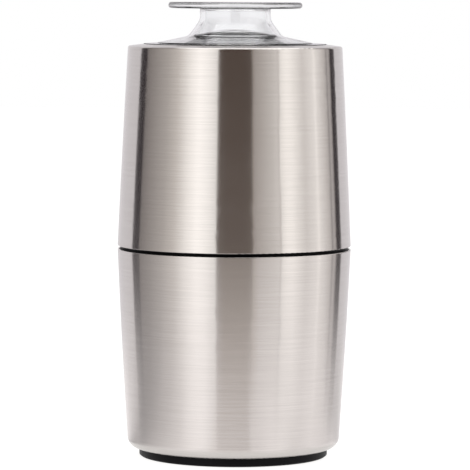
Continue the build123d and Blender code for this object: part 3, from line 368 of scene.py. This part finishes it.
moulded(
    "phenolic", dark=(0.030, 0.016, 0.010), light=(0.070, 0.036, 0.020), rough=(0.34, 0.5),
    scale=1400.0, bump=0.15,
)
moulded(
    "carbon", dark=(0.018, 0.018, 0.019), light=(0.050, 0.050, 0.052), rough=(0.5, 0.66),
    scale=1800.0, bump=0.3,
)
plain_metal(
    "plated_steel", dark=(0.52, 0.53, 0.55), light=(0.70, 0.71, 0.72), rough=(0.24, 0.36),
    scale=2400.0, bump=0.08,
)
plain_metal(
    "die_cast", dark=(0.42, 0.42, 0.43), light=(0.58, 0.58, 0.58), rough=(0.44, 0.6),
    scale=1500.0, bump=0.3,
)
plain_metal(
    "brass", dark=(0.66, 0.47, 0.20), light=(0.82, 0.62, 0.31), rough=(0.22, 0.34),
    scale=1800.0, bump=0.08,
)
stacked_sheets(
    "lamination_steel", dark=(0.12, 0.12, 0.13), light=(0.34, 0.34, 0.36), rough=(0.38, 0.52),
)
wound_copper(
    "copper", dark=(0.35, 0.11, 0.045), light=(0.86, 0.40, 0.20), rough=(0.26, 0.4), coat=(0.2, 0.5),
)

for node_name, piece in nodes.items():
    piece.data.materials.clear()
    piece.data.materials.append(FINISHES[finish_of[node_name]])


# Pieces made for the looks

MERGE_DISTANCE = 1e-7
FLAT_DISTANCE = 1e-8


def mesh_object(name, points, closed_rows=False, closed_columns=False):
    """A mesh on a grid of points: one square between each four neighbours, and round a closed side."""
    rows, columns = points.shape[:2]
    row_steps = np.arange(rows if closed_rows else rows - 1)
    column_steps = np.arange(columns if closed_columns else columns - 1)
    row, column = np.meshgrid(row_steps, column_steps, indexing="ij")
    next_row = (row + 1) % rows * columns
    next_column = (column + 1) % columns
    row = row * columns
    faces = np.stack((row + column, next_row + column, next_row + next_column, row + next_column), axis=-1)
    mesh = bpy.data.meshes.new(name)
    mesh.from_pydata(points.reshape(-1, 3), [], faces.reshape(-1, 4))
    mesh.update()
    item = bpy.data.objects.new(name, mesh)
    bpy.context.scene.collection.objects.link(item)
    return item


def finished(item, body, slot, crease):
    """Closes seams and poles, turns faces outwards, rounds the shading and gives body and finish."""
    shape = bmesh.new()
    shape.from_mesh(item.data)
    bmesh.ops.remove_doubles(shape, verts=shape.verts, dist=MERGE_DISTANCE)
    bmesh.ops.dissolve_degenerate(shape, edges=shape.edges, dist=FLAT_DISTANCE)
    bmesh.ops.recalc_face_normals(shape, faces=shape.faces)
    shape.to_mesh(item.data)
    shape.free()
    item.data.shade_smooth()
    item.data.set_sharp_from_angle(angle=math.radians(crease))
    item.data.materials.append(FINISHES[slot])
    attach(item, body)
    return item


def lathe(name, outline, body, slot, around=192, crease=35.0):
    """Each point of a closed (radius, height) outline, in millimetres, carried round the upright axis."""
    turn = np.linspace(0.0, FULL_TURN, around, endpoint=False)[:, None]
    radius = outline[None, :, 0] * MM
    height = np.broadcast_to(outline[None, :, 1] * MM, (around, len(outline)))
    points = np.stack((radius * np.cos(turn), radius * np.sin(turn), height), axis=-1)
    item = mesh_object(name, points, closed_rows=True, closed_columns=True)
    return finished(item, body, slot, crease)


def rounded_outline(corners, steps=12):
    """Closed outline through (radius, height, rounding) corners. A corner with a rounding is an arc about
    a middle on its bisector, and the arc starts and ends at rounding / tan(half the corner's angle)."""
    places = np.array([corner[:2] for corner in corners], dtype=float)
    share = np.linspace(0.0, 1.0, steps)[:, None]
    parts = []
    for index, (_, _, rounding) in enumerate(corners):
        corner = places[index]
        if rounding == 0.0:
            parts.append(corner[None, :])
            continue
        back = places[index - 1] - corner
        ahead = places[(index + 1) % len(places)] - corner
        back = back / np.linalg.norm(back)
        ahead = ahead / np.linalg.norm(ahead)
        half = math.acos(np.dot(back, ahead)) / 2.0
        reach = rounding / math.tan(half)
        bisector = (back + ahead) / np.linalg.norm(back + ahead)
        middle = corner + bisector * rounding / math.sin(half)
        first = corner + back * reach - middle
        last = corner + ahead * reach - middle
        sweep = math.pi - 2.0 * half
        arc = (np.sin((1.0 - share) * sweep) * first + np.sin(share * sweep) * last) / math.sin(sweep)
        parts.append(middle + arc)
    return np.concatenate(parts)


def inner_corner(before, corner, after, wall):
    """A corner moved to the right of the way along its outline, the wall's thickness from both sides."""
    before, corner, after = np.array(before), np.array(corner), np.array(after)
    way_in = (corner - before) / np.linalg.norm(corner - before)
    way_out = (after - corner) / np.linalg.norm(after - corner)
    sides = np.array((way_in[1], -way_in[0])) + np.array((way_out[1], -way_out[0]))
    return tuple(corner + sides * 2.0 * wall / np.dot(sides, sides))


# Clear lid: disc, neck, flare, brim, rim, flange and skirt, places as (radius, height)
DOME_WALL = 2.0
DISC_TOP = 194.55
DISC_UNDER = 191.95
DISC_RADIUS = 28.6
DISC_ROUND = 1.1
NECK_RADIUS = 15.1
NECK_ROUND = 0.8
NECK_END_ROUND = 0.6
FLARE_HEAD = (NECK_RADIUS, 186.9)
FLARE_HEAD_ROUND = 6.0
FLARE_FOOT = (20.1, 180.05)
FLARE_FOOT_ROUND = 3.5
BRIM_EDGE = (33.0, 177.35)
BRIM_EDGE_ROUND = 0.15
BRIM_STEP_ROUND = 0.1
BRIM_UNDER_ROUND = 0.4
BRIM_FALL = FLARE_FOOT[1] - BRIM_EDGE[1]
RIM_RADIUS = 38.75
RIM_TOP = 176.95
RIM_ROUND = 0.8
FLANGE_TOP = ((RIM_RADIUS, 175.85), (44.89, 174.95))
FLANGE_ROUND = 1.9
FLANGE_UNDER = (45.0, 172.95)
SKIRT_RADII = (33.1, 34.6)
SKIRT_FOOT = 154.3
SKIRT_ROUND = 0.3
GROOVE_RADIUS = 34.0
GROOVE_LOW = 155.5
GROOVE_HIGH = 158.5


def flare_inside():
    """The corners at the flare's head and foot, on the inside of the wall."""
    head = inner_corner((NECK_RADIUS, DISC_UNDER), FLARE_HEAD, FLARE_FOOT, DOME_WALL)
    foot = inner_corner(FLARE_HEAD, FLARE_FOOT, BRIM_EDGE, DOME_WALL)
    return head, foot


def clear_dome():
    """The clear lid, one rounded outline turned round: disc, hollow neck, flare, stepped brim, flange and
    grooved skirt."""
    head_inside, foot_inside = flare_inside()
    slope = BRIM_FALL / (BRIM_EDGE[0] - FLARE_FOOT[0])
    skirt_inner, skirt_outer = SKIRT_RADII

    def brim_under(radius):
        return foot_inside[1] - slope * (radius - foot_inside[0])

    rim_inside = RIM_RADIUS - DOME_WALL
    outline = rounded_outline((
        (0.0, DISC_TOP, 0.0),
        (DISC_RADIUS, DISC_TOP, DISC_ROUND),
        (DISC_RADIUS, DISC_UNDER, DISC_ROUND),
        (NECK_RADIUS, DISC_UNDER, NECK_ROUND),
        (*FLARE_HEAD, FLARE_HEAD_ROUND),
        (*FLARE_FOOT, FLARE_FOOT_ROUND),
        (*BRIM_EDGE, BRIM_EDGE_ROUND),
        (BRIM_EDGE[0], RIM_TOP, BRIM_STEP_ROUND),
        (RIM_RADIUS, RIM_TOP, RIM_ROUND),
        (*FLANGE_TOP[0], 0.0),
        (*FLANGE_TOP[1], FLANGE_ROUND),
        (*FLANGE_UNDER, 0.0),
        (rim_inside, FLANGE_UNDER[1], 0.0),
        (rim_inside, brim_under(rim_inside), BRIM_UNDER_ROUND),
        (skirt_outer, brim_under(skirt_outer), BRIM_UNDER_ROUND),
        (skirt_outer, GROOVE_HIGH, 0.0),
        (GROOVE_RADIUS, GROOVE_HIGH, 0.0),
        (GROOVE_RADIUS, GROOVE_LOW, 0.0),
        (skirt_outer, GROOVE_LOW, 0.0),
        (skirt_outer, SKIRT_FOOT, SKIRT_ROUND),
        (skirt_inner, SKIRT_FOOT, SKIRT_ROUND),
        (skirt_inner, brim_under(skirt_inner), BRIM_UNDER_ROUND),
        (*foot_inside, FLARE_FOOT_ROUND + DOME_WALL),
        (*head_inside, FLARE_HEAD_ROUND + DOME_WALL),
        (NECK_RADIUS - DOME_WALL, DISC_TOP - DOME_WALL, NECK_END_ROUND),
        (0.0, DISC_TOP - DOME_WALL, 0.0),
    ))
    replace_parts(lathe("clear_dome", outline, "lid", "clear_plastic"), "lid_dome")


# Clear plug in the neck
PLUG_TOP = 182.6
PLUG_RISE = 3.4
PLUG_RADIUS = 20.4
PLUG_GAP = 0.08
PLUG_FOOT = 177.6
PLUG_STEPS = 80
PLUG_ARC_STEPS = 24


def neck_plug():
    """A clear plug with a flat foot that closes the hollow neck. Its height falls with the square of the
    radius, and towards its edge it follows the underside of the flare and the brim, a hair below them."""
    head_inside, foot_inside = flare_inside()
    brim_inside = (BRIM_EDGE[0], foot_inside[1] - BRIM_FALL)
    wall = rounded_outline((
        (*head_inside, 0.0),
        (*foot_inside, FLARE_FOOT_ROUND + DOME_WALL),
        (*brim_inside, 0.0),
    ), PLUG_ARC_STEPS)
    radius = np.linspace(0.0, PLUG_RADIUS, PLUG_STEPS)
    crown = PLUG_TOP - PLUG_RISE * (radius / FLARE_FOOT[0]) ** 2
    underside = np.interp(radius, wall[:, 0], wall[:, 1]) - PLUG_GAP
    top = np.stack((radius, np.minimum(crown, underside)), axis=-1)
    foot = np.array(((PLUG_RADIUS, PLUG_FOOT), (0.0, PLUG_FOOT)))
    lathe("neck_plug", np.concatenate((top, foot)), "lid", "clear_plastic")


# Black bead round the clear rim, a painted shadow: a dark ring that stands in for the shadow gap between
# the clear rim and the steel lip
STEEL_LIP_TOP = 176.65
BEAD_INNER = RIM_RADIUS + 0.03
BEAD_OUTER = RIM_RADIUS + 0.2
BEAD_LOW = STEEL_LIP_TOP - 0.5
BEAD_HIGH = STEEL_LIP_TOP + 0.16
BEAD_ROUND = 0.05
BEAD_ARC_STEPS = 6


def shadow_gap_bead():
    """A black bead that paints the shadow gap between the clear rim and the steel lip: a rounded strip
    turned round.
    """
    outline = rounded_outline((
        (BEAD_INNER, BEAD_LOW, 0.0),
        (BEAD_OUTER, BEAD_LOW, 0.0),
        (BEAD_OUTER, BEAD_HIGH, BEAD_ROUND),
        (BEAD_INNER, BEAD_HIGH, BEAD_ROUND),
    ), BEAD_ARC_STEPS)
    lathe("shadow_gap_bead", outline, "lid", "black_rubber")


# Spring of the interlock pin
SPRING_WIRE = 0.35
SPRING_TURNS = 2
SPRING_STEPS = 97
SPRING_SIDES = 20
SPRING_CREASE = 40.0


def pin_spring():
    """The wire spring under the interlock pin's collar, which gives way as the lid is pressed. The middle
    of the wire climbs evenly as it goes round, and its circle stands on the way outwards and the
    upright."""
    corners = np.array(nodes["interlock_spring"].bound_box)
    low = corners.min(axis=0)
    high = corners.max(axis=0)
    middle = (low + high) / 2.0
    length = high[2] - low[2]
    wire = SPRING_WIRE * MM
    share = np.pad(np.linspace(0.0, 1.0, SPRING_STEPS), 1, mode="edge")[:, None]
    thick = np.full_like(share, wire)
    thick[[0, -1]] = 0.0
    turn = FULL_TURN * SPRING_TURNS * share
    around = np.linspace(0.0, FULL_TURN, SPRING_SIDES, endpoint=False)[None, :]
    out = high[0] - middle[0] - wire + thick * np.cos(around)
    height = low[2] + wire + (length - 2.0 * wire) * share + thick * np.sin(around)
    points = np.stack((middle[0] + out * np.cos(turn), middle[1] + out * np.sin(turn), height), axis=-1)
    item = mesh_object("pin_spring", points, closed_columns=True)
    finished(item, "bowl", "plated_steel", SPRING_CREASE)
    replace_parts(item, "interlock_spring")
    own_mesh(item)


clear_dome()
neck_plug()
shadow_gap_bead()
pin_spring()


# Stage: pale floor, soft cards round the object, three soft lamps

CARD_COLUMNS = 24


def card_material(name, strength, stops):
    """Light that changes only across the card, from its start to its end."""
    material = new_material(name)
    graph = Graph(material.node_tree)
    across = graph.add("ShaderNodeAttribute", attribute_name="across").outputs["Fac"]
    emission = graph.add("ShaderNodeEmission", {"Color": graph.ramp(across, *stops), "Strength": strength})
    graph.add("ShaderNodeOutputMaterial", {"Surface": emission.outputs[0]})
    return material


def card(name, start, end, edges, strength, stops, glossy=True, transmission=True):
    """Part of a surface turned about the object: azimuth from start to end, 0 towards the camera, between
    two edges that are each given as (radius, height). It is seen only in what shines or is clear."""
    turn = np.radians(np.linspace(start, end, CARD_COLUMNS))[None, :]
    radius, height = np.array(edges).T[:, :, None]
    points = np.stack(np.broadcast_arrays(radius * np.sin(turn), -radius * np.cos(turn), height), axis=-1)
    item = mesh_object(name, points)
    share = np.tile(np.linspace(0.0, 1.0, CARD_COLUMNS, dtype=np.float32), len(edges))
    item.data.attributes.new("across", "FLOAT", "POINT").data.foreach_set("value", share)
    item.data.materials.append(card_material(name, strength, stops))
    item.visible_camera = False
    item.visible_diffuse = False
    item.visible_shadow = False
    item.visible_glossy = glossy
    item.visible_transmission = transmission


def even_card(name, start, end, edges, colour, **seen):
    """A card with one colour."""
    card(name, start, end, edges, 1.0, ((0.0, colour), (1.0, colour)), **seen)


# Upright cards, with the azimuths at which one ends and the next starts
GAP_LEFT = -16.5
GAP_RIGHT = 17.0
FLAG_LEFT = -102.5
FLAG_RIGHT = 115.0
BACK_LEFT = -114.5
BACK_RIGHT = 125.5
CARD_RADIUS = 0.4
UPRIGHT = ((CARD_RADIUS, 0.0), (CARD_RADIUS, 0.75))
CARD_LIGHT = 1.4
FLAG_COLOUR = (0.040, 0.032, 0.036)
GAP_COLOUR = (0.066, 0.040, 0.028)
BACK_COLOUR = (0.80, 0.775, 0.80)
LEFT_STOPS = (
    (0.0, (0.80, 0.785, 0.77)), (0.22, (1.0, 0.98, 0.96)), (0.5, (0.565, 0.535, 0.51)),
    (0.63, (0.42, 0.395, 0.377)), (1.0, (0.19, 0.172, 0.168)),
)
RIGHT_STOPS = (
    (0.0, (0.30, 0.27, 0.25)), (0.2, (0.50, 0.475, 0.455)), (0.262, (0.60, 0.575, 0.555)),
    (0.275, (0.28, 0.26, 0.25)), (0.288, (0.78, 0.755, 0.73)), (0.345, (0.92, 0.895, 0.87)),
    (0.40, (0.92, 0.895, 0.87)), (0.56, (0.64, 0.615, 0.60)), (0.70, (0.81, 0.785, 0.77)),
    (0.72, (0.98, 0.955, 0.935)), (0.745, (0.80, 0.775, 0.76)), (0.912, (0.48, 0.455, 0.445)),
    (0.93, (0.15, 0.14, 0.14)), (0.948, (0.45, 0.425, 0.42)), (1.0, (0.37, 0.345, 0.34)),
)
card("card_left", GAP_LEFT, FLAG_LEFT, UPRIGHT, CARD_LIGHT, LEFT_STOPS)
card("card_right", GAP_RIGHT, FLAG_RIGHT, UPRIGHT, CARD_LIGHT, RIGHT_STOPS)
even_card("flag_left", FLAG_LEFT, BACK_LEFT, UPRIGHT, FLAG_COLOUR)
even_card("flag_right", FLAG_RIGHT, BACK_RIGHT, UPRIGHT, FLAG_COLOUR)
even_card("camera_gap", GAP_LEFT, GAP_RIGHT, UPRIGHT, GAP_COLOUR)
even_card("card_back", BACK_LEFT, BACK_RIGHT - FULL_CIRCLE, UPRIGHT, BACK_COLOUR)


def toned(*groups):
    """Colour stops from groups of a tint and its (place, tone) pairs: a colour is tone times tint."""
    return [(place, tuple(tone * np.array(tint))) for tint, tones in groups for place, tone in tones]


# Flat on the floor and seen only in what shines: the floor's light by azimuth, from the back to the back
FLOOR_START = 0.055
FLOOR_LIFT = 0.0002
FLAT = ((FLOOR_START, FLOOR_LIFT), (CARD_RADIUS, FLOOR_LIFT))
FLOOR_LIGHT = 0.93
FLOOR_PALE = (1.0, 0.967, 0.975)
FLOOR_WARM = (1.0, 0.925, 0.86)
LEFT_TONES = (
    (0.0, 1.05), (0.10, 1.12), (0.147, 1.02), (0.18, 0.88), (0.21, 0.64), (0.25, 0.62), (0.33, 0.98),
    (0.375, 1.17), (0.42, 1.27), (0.452, 1.15),
)
FRONT_TONES = ((0.458, 0.97), (0.543, 0.97))
RIGHT_TONES = (
    (0.549, 1.24), (0.57, 1.26), (0.62, 1.07), (0.66, 1.20), (0.72, 1.24), (0.77, 1.15), (0.80, 0.92),
    (0.85, 0.84), (0.90, 0.98), (1.0, 1.05),
)
floor_stops = toned((FLOOR_PALE, LEFT_TONES), (FLOOR_WARM, FRONT_TONES), (FLOOR_PALE, RIGHT_TONES))
FLOOR_HALF_TURN = FULL_CIRCLE / 2.0
card("card_floor", -FLOOR_HALF_TURN, FLOOR_HALF_TURN, FLAT, FLOOR_LIGHT, floor_stops, transmission=False)

# The same close to the object and towards the camera: the floor is paler and its warm strip narrower
NEAR_HALF = 22.0
NEAR_END = 0.2
NEAR_LIFT = 0.0004
FLAT_NEAR = ((FLOOR_START, NEAR_LIFT), (NEAR_END, NEAR_LIFT))
NEAR_WARM = (1.0, 0.955, 0.95)
near_stops = toned(
    (FLOOR_PALE, ((0.0, 1.20), (0.115, 1.15))),
    (NEAR_WARM, ((0.135, 1.10), (0.774, 1.10))),
    (FLOOR_PALE, ((0.794, 1.24), (1.0, 1.25))),
)
card("card_floor_near", -NEAR_HALF, NEAR_HALF, FLAT_NEAR, FLOOR_LIGHT, near_stops, transmission=False)

# Seen only through the clear top: a paler backdrop, and above it a dark band for the dark lines of edges
CLEAR_RADIUS = 0.39
BACKDROP = ((CLEAR_RADIUS, 0.0), (CLEAR_RADIUS, 0.285))
BACKDROP_COLOUR = (0.93, 0.92, 0.94)
SHADE = ((CLEAR_RADIUS, 0.37), (CLEAR_RADIUS, 0.57))
SHADE_START = -145.0
SHADE_END = -215.0
SHADE_COLOUR = (0.03, 0.03, 0.03)
even_card("backdrop", GAP_RIGHT, GAP_LEFT + FULL_CIRCLE, BACKDROP, BACKDROP_COLOUR, glossy=False)
even_card("shade", SHADE_START, SHADE_END, SHADE, SHADE_COLOUR, glossy=False)

# Floor and world, with strengths by how they are seen
FLOOR_HALF = 4.0
FLOOR_DROP = -0.0003
FLOOR_PAINT = (0.25, 0.25, 0.25, 1.0)
FLOOR_TINT = (1.0, 0.99, 0.98, 1.0)
FLOOR_SEEN = 0.9
FLOOR_MIRRORED = 0.75
WORLD_TINT = (1.0, 1.0, 1.0, 1.0)
WORLD_SEEN = 1.0
WORLD_SOFT = 0.55


def pale_floor():
    """A flat square. It shines a little by itself, so that it is white outside the object's shadow."""
    side = np.array((-FLOOR_HALF, FLOOR_HALF))
    x, y = np.meshgrid(side, side, indexing="ij")
    item = mesh_object("floor", np.stack((x, y, np.full_like(x, FLOOR_DROP)), axis=-1))
    material = new_material("pale_floor")
    graph = Graph(material.node_tree)
    paint = graph.add("ShaderNodeBsdfDiffuse", {"Color": FLOOR_PAINT})
    light = graph.add("ShaderNodeLightPath").outputs
    straight = graph.math("MAXIMUM", light["Is Camera Ray"], light["Is Transmission Ray"])
    plain = graph.math("MULTIPLY", straight, FLOOR_SEEN)
    mirrored = graph.math("MULTIPLY", light["Is Glossy Ray"], FLOOR_MIRRORED)
    strength = graph.math("ADD", plain, mirrored)
    shine = graph.add("ShaderNodeEmission", {"Color": FLOOR_TINT, "Strength": strength})
    both = graph.add("ShaderNodeAddShader", {0: paint.outputs[0], 1: shine.outputs[0]})
    graph.add("ShaderNodeOutputMaterial", {"Surface": both.outputs[0]})
    item.data.materials.append(material)


def studio_world():
    """White where it is seen, straight or in metal and clear plastic, and an even soft light elsewhere."""
    world = bpy.data.worlds.new("studio")
    bpy.context.scene.world = world
    world.use_nodes = True
    world.node_tree.nodes.clear()
    graph = Graph(world.node_tree)
    light = graph.add("ShaderNodeLightPath").outputs
    in_pieces = graph.math("MAXIMUM", light["Is Glossy Ray"], light["Is Transmission Ray"])
    seen = graph.math("MAXIMUM", light["Is Camera Ray"], in_pieces)
    strength = graph.span(seen, 0.0, 1.0, WORLD_SOFT, WORLD_SEEN)
    back = graph.add("ShaderNodeBackground", {"Color": WORLD_TINT, "Strength": strength})
    graph.add("ShaderNodeOutputWorld", {"Surface": back.outputs[0]})


# Lamps, all turned to the middle of the object
LAMP_TARGET = 0.1


def soft_lamp(name, place, size, power):
    """A square area lamp, with its size in metres and its power in watts."""
    data = bpy.data.lights.new(name, "AREA")
    data.energy = power
    data.size = size
    lamp = bpy.data.objects.new(name, data)
    bpy.context.scene.collection.objects.link(lamp)
    x, y, z = place
    lamp.location = place
    lamp.rotation_euler = (math.atan2(math.hypot(x, y), z - LAMP_TARGET), 0.0, math.atan2(x, -y))


pale_floor()
studio_world()
soft_lamp("lamp_left", place=(-1.1, -1.2, 1.1), size=0.9, power=12.0)
soft_lamp("lamp_right", place=(1.2, -0.9, 0.9), size=0.9, power=9.0)
soft_lamp("lamp_top", place=(0.1, 0.5, 1.7), size=2.4, power=16.0)


# Camera, with its pitch and roll in degrees and its lens and sensor in millimetres
CAMERA_BACK = 1.5
CAMERA_HEIGHT = 0.205
CAMERA_SIDE = -0.00024
CAMERA_PITCH = 4.2
CAMERA_ROLL = -0.3
CAMERA_LENS = 268.5
CAMERA_SENSOR = 36.0

camera_data = bpy.data.cameras.new("camera")
camera_data.lens = CAMERA_LENS
camera_data.sensor_width = CAMERA_SENSOR
camera = bpy.data.objects.new("camera", camera_data)
camera.location = (CAMERA_SIDE, -CAMERA_BACK, CAMERA_HEIGHT)
camera.rotation_euler = (math.radians(90.0 - CAMERA_PITCH), math.radians(CAMERA_ROLL), 0.0)
bpy.context.scene.collection.objects.link(camera)
bpy.context.scene.camera = camera
bpy.context.scene.view_settings.view_transform = "Standard"
